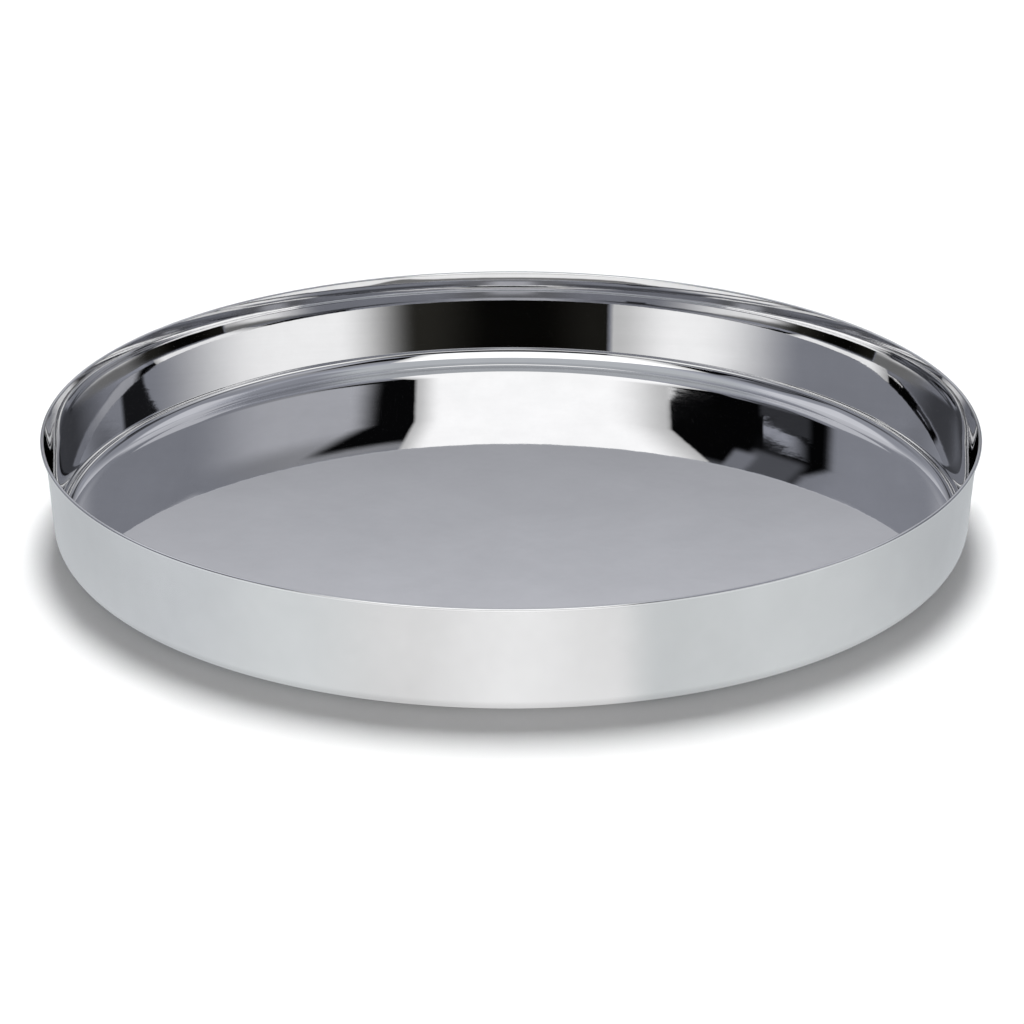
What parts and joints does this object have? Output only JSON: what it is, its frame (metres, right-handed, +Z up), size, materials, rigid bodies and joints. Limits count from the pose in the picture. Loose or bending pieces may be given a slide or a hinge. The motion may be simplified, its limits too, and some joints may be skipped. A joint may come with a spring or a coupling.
{
  "type": "thali plate",
  "caption": "Round polished steel thali plate with a flat floor, a low wall that flares a little at the top and a rounded rim edge, for serving a meal.",
  "frame": {"origin": "centre of the flat underside, where the plate rests on a table", "axes": "+Z up through the dish along its axis of revolution; X and Y lie in the table plane, and every turn about Z looks the same"},
  "size_m": [0.3, 0.3, 0.0345],
  "materials": {
    "polished_steel": "polished"
  },
  "bodies": {
    "root": {"thali_plate": "polished_steel"}
  },
  "joints": []
}
